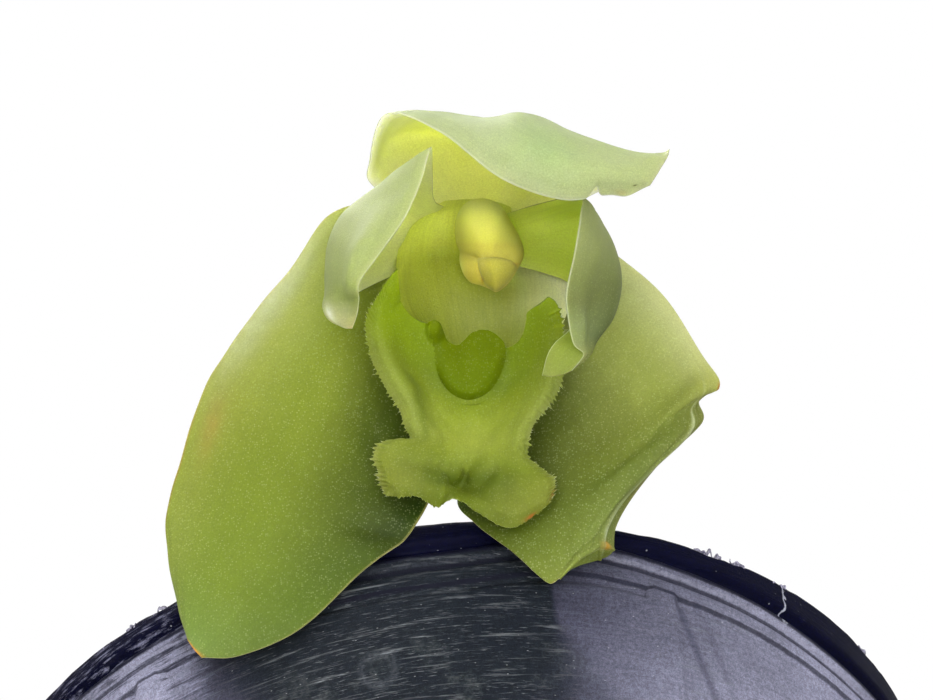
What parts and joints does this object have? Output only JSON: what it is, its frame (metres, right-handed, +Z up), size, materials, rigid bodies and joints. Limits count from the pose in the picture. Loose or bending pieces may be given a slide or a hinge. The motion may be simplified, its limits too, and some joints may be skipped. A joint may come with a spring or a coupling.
{
  "type": "potted orchid",
  "caption": "Orchid in a round plastic nursery pot of bark: pleated leaves on swollen stems and a hooded green flower with a fringed lip that nods over the rim.",
  "frame": {"origin": "centre of the pot's base, on the surface that the pot stands on", "axes": "+Z up, along the pot's axis; the flower hangs over the rim towards -Y and the leaves arch back towards +Y"},
  "size_m": [0.1092, 0.2095, 0.1802],
  "materials": {
    "pot_plastic": "satin moulded plastic",
    "bark": "rough chips",
    "rhizome": "matt",
    "pseudobulb": "satin, furrowed",
    "leaf": "satin, glaucous",
    "stem": "satin",
    "petal": "satin, glaucous outside",
    "sepal": "satin, finely grained",
    "column": "satin",
    "lip": "satin"
  },
  "bodies": {
    "root": {"pot": "pot_plastic", "bark_medium": "bark", "rhizome": "rhizome", "pseudobulb_1": "pseudobulb", "pseudobulb_2": "pseudobulb", "pseudobulb_3": "pseudobulb", "leaf_1": "leaf", "leaf_2": "leaf", "leaf_3": "leaf", "leaf_4": "leaf", "scape": "stem", "ovary": "stem", "dorsal_sepal": "petal", "petal_left": "petal", "petal_right": "petal", "lateral_sepal_left": "sepal", "lateral_sepal_right": "sepal", "column": "column", "anther_cap": "column", "lip": "lip"}
  },
  "joints": []
}
